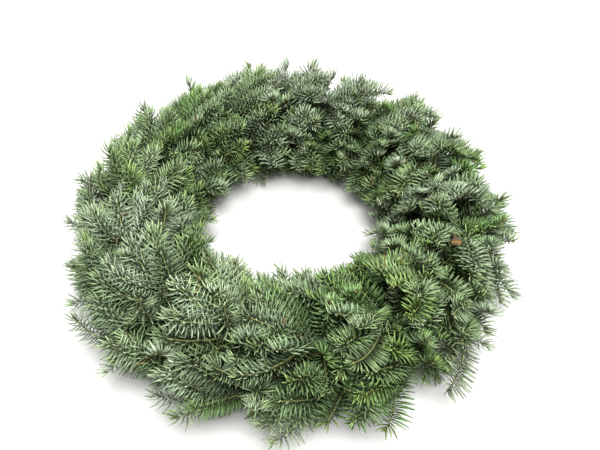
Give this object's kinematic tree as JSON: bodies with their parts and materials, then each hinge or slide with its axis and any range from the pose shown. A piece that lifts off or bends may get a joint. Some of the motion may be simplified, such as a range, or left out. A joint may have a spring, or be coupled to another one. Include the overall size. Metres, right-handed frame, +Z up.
{
  "type": "fresh evergreen wreath",
  "caption": "Round wreath of fresh noble fir sprays wired in overlapping bunches on a steel ring, with an open hole, lying face up.",
  "frame": {"origin": "on the surface that the wreath lies on, under the middle of its bounding box", "axes": "+Z up out of the wreath's face, along the axis of its hole; -Y towards the picture's camera, +X to its right"},
  "size_m": [0.6286, 0.6132, 0.1692],
  "materials": {
    "fir_foliage": "fresh noble fir: waxy blue-green to yellow-green needles with pale bands, on yellow-brown twigs and grey-brown bark",
    "lacquered_steel_wire": "drawn steel wire with dark green lacquer, satin"
  },
  "bodies": {
    "root": {"spray_01_outer": "fir_foliage", "spray_01_top": "fir_foliage", "spray_01_inner": "fir_foliage", "spray_02_outer": "fir_foliage", "spray_02_top": "fir_foliage", "spray_02_inner": "fir_foliage", "spray_03_outer": "fir_foliage", "spray_03_top": "fir_foliage", "spray_03_inner": "fir_foliage", "spray_04_outer": "fir_foliage", "spray_04_top": "fir_foliage", "spray_04_inner": "fir_foliage", "spray_05_outer": "fir_foliage", "spray_05_top": "fir_foliage", "spray_05_inner": "fir_foliage", "spray_06_outer": "fir_foliage", "spray_06_top": "fir_foliage", "spray_06_inner": "fir_foliage", "spray_07_outer": "fir_foliage", "spray_07_top": "fir_foliage", "spray_07_inner": "fir_foliage", "spray_08_outer": "fir_foliage", "spray_08_top": "fir_foliage", "spray_08_inner": "fir_foliage", "spray_09_outer": "fir_foliage", "spray_09_top": "fir_foliage", "spray_09_inner": "fir_foliage", "spray_10_outer": "fir_foliage", "spray_10_top": "fir_foliage", "spray_10_inner": "fir_foliage", "spray_11_outer": "fir_foliage", "spray_11_top": "fir_foliage", "spray_11_inner": "fir_foliage", "spray_12_outer": "fir_foliage", "spray_12_top": "fir_foliage", "spray_12_inner": "fir_foliage", "spray_13_outer": "fir_foliage", "spray_13_top": "fir_foliage", "spray_13_inner": "fir_foliage", "spray_14_outer": "fir_foliage", "spray_14_top": "fir_foliage", "spray_14_inner": "fir_foliage", "spray_15_outer": "fir_foliage", "spray_15_top": "fir_foliage", "spray_15_inner": "fir_foliage", "spray_16_outer": "fir_foliage", "spray_16_top": "fir_foliage", "spray_16_inner": "fir_foliage", "wire_ring": "lacquered_steel_wire", "binding_wire": "lacquered_steel_wire"}
  },
  "joints": []
}
